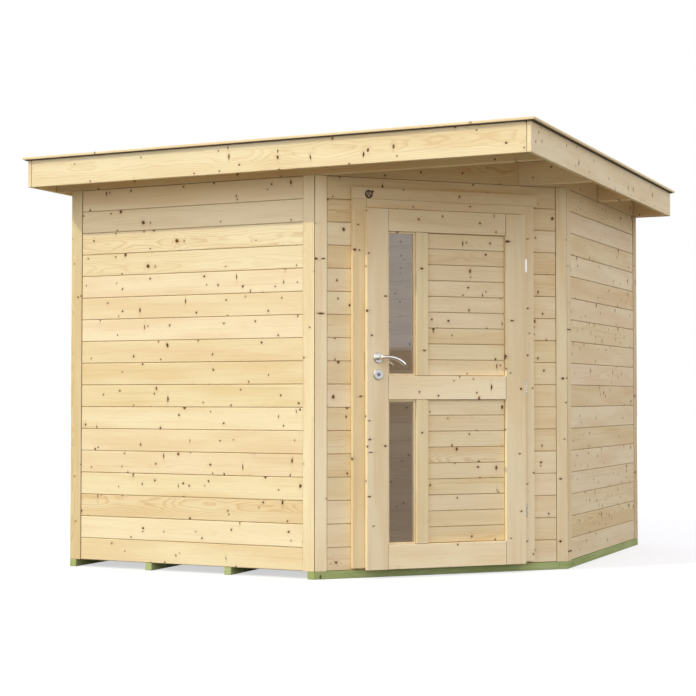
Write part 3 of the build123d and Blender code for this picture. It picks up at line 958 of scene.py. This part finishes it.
def lever_piece(name, node, face, side, spindle=0.0):
    """A lever in the place of its plain one, on one face of the leaf.

    Side is -1 outside and 1 inside. Spindle is the length of the square spindle on it.
    """
    rotation = Matrix.Rotation(DOOR_TURN, 3, "Z")
    axes = rotation @ Matrix(((1, 0, 0), (0, side, 0), (0, 0, 1)))
    plate_low, plate_high = loose_parts("handle_rosettes", DOOR_TURN)[-1]
    middle = (plate_low + plate_high) / 2
    origin = rotation @ Vector((middle.x, face, middle.z))
    low, high = local_box(node, DOOR_TURN)
    reach = abs((low.y if side < 0 else high.y) - face) - BAR_RADIUS
    mesh = bmesh.new()
    swept_bar(mesh, lever_route(reach), lambda point: origin + axes @ point)
    outwards = (axes @ Vector((0, 1, 0))).normalized()
    foot = plate_high.y - plate_low.y + LEVER_PLAY
    collar = [(COLLAR_RADIUS, foot), (COLLAR_RADIUS, foot + COLLAR_LENGTH - COLLAR_EDGE),
              (COLLAR_RADIUS - COLLAR_EDGE, foot + COLLAR_LENGTH)]
    revolved(mesh, origin, outwards, collar, BAR_SIDES)
    if spindle:
        revolved(mesh, origin, outwards, [(SPINDLE_RADIUS, -spindle), (SPINDLE_RADIUS, LEVER_PLAY)], 4)
    made = link_piece(name, mesh, STEEL, "lever", "steel", node)
    made.data.shade_smooth()
    made.data.set_sharp_from_angle(angle=SHARP_ANGLE)


def levers():
    """The outer and inner lever."""
    low, high = local_box("door_stile_lock", DOOR_TURN)
    lever_piece("outer_lever_bar", "outer_lever", low.y, -1, high.y - low.y)
    lever_piece("inner_lever_bar", "inner_lever", high.y, 1)


levers()


def door_screws():
    """Screws in the wings of the hinges and in the strike plate."""
    rotation = Matrix.Rotation(DOOR_TURN, 3, "Z")
    outwards = rotation @ Vector((0, -1, 0))
    sideways = rotation @ Vector((1, 0, 0))
    mesh = bmesh.new()
    for low, high in loose_parts("hinge_frame_halves", DOOR_TURN):
        middle = (low.z + high.z) / 2
        for z in (middle - WING_SCREW_SPREAD, middle, middle + WING_SCREW_SPREAD):
            place = rotation @ Vector((high.x - WING_SCREW_INSET, high.y - WING_THICK, z))
            head(mesh, SCREW_HEAD, place, outwards, SCREW_RADIUS)
    low, high = local_box("strike_plate", DOOR_TURN)
    for z in (low.z + PLATE_SCREW_INSET, high.z - PLATE_SCREW_INSET):
        place = rotation @ Vector((high.x, (low.y + high.y) / 2, z))
        head(mesh, SCREW_HEAD, place, sideways, SCREW_RADIUS)
    link_piece("frame_screws", mesh, STEEL, "house", "steel")
    mesh = bmesh.new()
    for low, high in loose_parts("hinge_leaf_halves", DOOR_TURN):
        middle = (low.z + high.z) / 2
        for z in (middle - LEAF_SCREW_SPREAD, middle + LEAF_SCREW_SPREAD):
            place = rotation @ Vector((low.x + WING_THICK, low.y + LEAF_SCREW_INSET, z))
            head(mesh, SCREW_HEAD, place, sideways, LEAF_SCREW_RADIUS)
    link_piece("leaf_screws", mesh, STEEL, "door", "steel")


door_screws()


def glass_material():
    """Clear pane that lets light through to the room."""
    material, tree, surface = shader("clear_glass")
    surface.inputs["Base Color"].default_value = colour(240, 235, 227)
    surface.inputs["Roughness"].default_value = 0.0
    surface.inputs["Transmission Weight"].default_value = 1.0
    surface.inputs["IOR"].default_value = 1.78
    surface.inputs["Specular Tint"].default_value = (0.8, 0.95, 1.0, 1)
    rays = add(tree, "ShaderNodeLightPath")
    passing = calc(tree, "MAXIMUM", rays.outputs["Is Shadow Ray"], rays.outputs["Is Diffuse Ray"])
    clear = add(tree, "ShaderNodeBsdfTransparent").outputs[0]
    mixed = add(tree, "ShaderNodeMixShader", {0: passing, 1: surface.outputs[0], 2: clear}).outputs[0]
    tree.links.new(mixed, tree.nodes["Material Output"].inputs["Surface"])
    return material


give("door_glass", glass_material())


def pale_floor():
    """A level floor, white to the camera and plain grey to the other rays, so that it sheds little light."""
    ground = bpy.data.meshes.new("ground")
    corners = [(-FLOOR_REACH, -FLOOR_REACH, 0), (FLOOR_REACH, -FLOOR_REACH, 0),
               (FLOOR_REACH, FLOOR_REACH, 0), (-FLOOR_REACH, FLOOR_REACH, 0)]
    ground.from_pydata(corners, [], [(0, 1, 2, 3)])
    material, tree, surface = shader("pale_floor")
    surface.inputs["Base Color"].default_value = (0.185, 0.175, 0.16, 1)
    surface.inputs["Roughness"].default_value = 1.0
    rays = add(tree, "ShaderNodeLightPath")
    seen = calc(tree, "MAXIMUM", rays.outputs["Is Camera Ray"], rays.outputs["Is Transmission Ray"])
    pale = add(tree, "ShaderNodeBsdfDiffuse", {"Color": (0.42, 0.42, 0.42, 1)}).outputs[0]
    glow = add(tree, "ShaderNodeEmission", {"Color": (1, 1, 1, 1), "Strength": 0.6}).outputs[0]
    both = add(tree, "ShaderNodeAddShader", {0: pale, 1: glow}).outputs[0]
    mixed = add(tree, "ShaderNodeMixShader", {0: seen, 1: surface.outputs[0], 2: both}).outputs[0]
    tree.links.new(mixed, tree.nodes["Material Output"].inputs["Surface"])
    ground.materials.append(material)
    floor = bpy.data.objects.new("ground", ground)
    bpy.context.scene.collection.objects.link(floor)


def pale_world():
    """White behind the object, a soft sky in its reflections and even light on it."""
    world = bpy.data.worlds.new("studio")
    bpy.context.scene.world = world
    world.use_nodes = True
    tree = world.node_tree
    even = tree.nodes["Background"]
    even.inputs["Color"].default_value = (1.0, 0.985, 1.1, 1)
    even.inputs["Strength"].default_value = 0.945
    white = add(tree, "ShaderNodeBackground", {"Color": (1, 1, 1, 1), "Strength": 1.0}).outputs[0]
    way = add(tree, "ShaderNodeTexCoord").outputs["Generated"]
    height = add(tree, "ShaderNodeSeparateXYZ", {0: way}).outputs[2]
    cloud = fade(tree, noise(tree, way, (5.0, 5.0, 14.0), detail=3.0), 0.4, 0.65)
    sky = blend(tree, cloud, (1.27, 1.38, 1.66, 1), (1.46, 1.5, 1.64, 1))
    sky = blend(tree, fade(tree, height, HORIZON - 0.004, HORIZON + 0.002), (0.2, 0.19, 0.17, 1), sky)
    mirrored = add(tree, "ShaderNodeBackground", {"Color": sky, "Strength": 1.0}).outputs[0]
    rays = add(tree, "ShaderNodeLightPath")
    mixed = add(tree, "ShaderNodeMixShader",
                {0: rays.outputs["Is Glossy Ray"], 1: even.outputs[0], 2: mirrored}).outputs[0]
    shown = calc(tree, "MAXIMUM", rays.outputs["Is Camera Ray"], rays.outputs["Is Transmission Ray"])
    mixed = add(tree, "ShaderNodeMixShader", {0: shown, 1: mixed, 2: white}).outputs[0]
    tree.links.new(mixed, tree.nodes["World Output"].inputs["Surface"])


def sun_lamp(name, energy, angle, tint, towards):
    """A sun that stands in the direction given, as wide as an angle in degrees."""
    lamp = bpy.data.lights.new(name, "SUN")
    lamp.energy = energy
    lamp.angle = radians(angle)
    lamp.color = tint
    sun = bpy.data.objects.new(name, lamp)
    sun.rotation_euler = Vector(towards).to_track_quat("Z", "Y").to_euler()
    bpy.context.scene.collection.objects.link(sun)
    return sun


def room_lamp():
    """A weak lamp in the room, so that its walls show through the panes."""
    lamp = bpy.data.lights.new("room_lamp", "POINT")
    lamp.energy = 4.6
    lamp.shadow_soft_size = 0.3
    glow = bpy.data.objects.new("room_lamp", lamp)
    glow.location = ROOM_LAMP_PLACE
    glow.visible_camera = False
    glow.visible_glossy = False
    glow.visible_transmission = False
    bpy.context.scene.collection.objects.link(glow)


def camera():
    """A camera at the height and angle of the photograph."""
    view = bpy.data.cameras.new("camera")
    view.sensor_width = 36.0
    view.lens = LENS
    eye = bpy.data.objects.new("camera", view)
    eye.location = EYE
    eye.rotation_euler = (radians(90 + EYE_TILT), 0, radians(EYE_TURN))
    bpy.context.scene.collection.objects.link(eye)
    bpy.context.scene.camera = eye


bpy.context.scene.view_settings.view_transform = "Standard"
pale_floor()
pale_world()
sun_lamp("sun", energy=1.38, angle=0.4, tint=(1.0, 0.99, 0.71), towards=SUN_TOWARDS)
fill = sun_lamp("fill", energy=0.78, angle=60.0, tint=(0.86, 0.92, 1.0), towards=FILL_TOWARDS)
fill.visible_glossy = False
room_lamp()
camera()
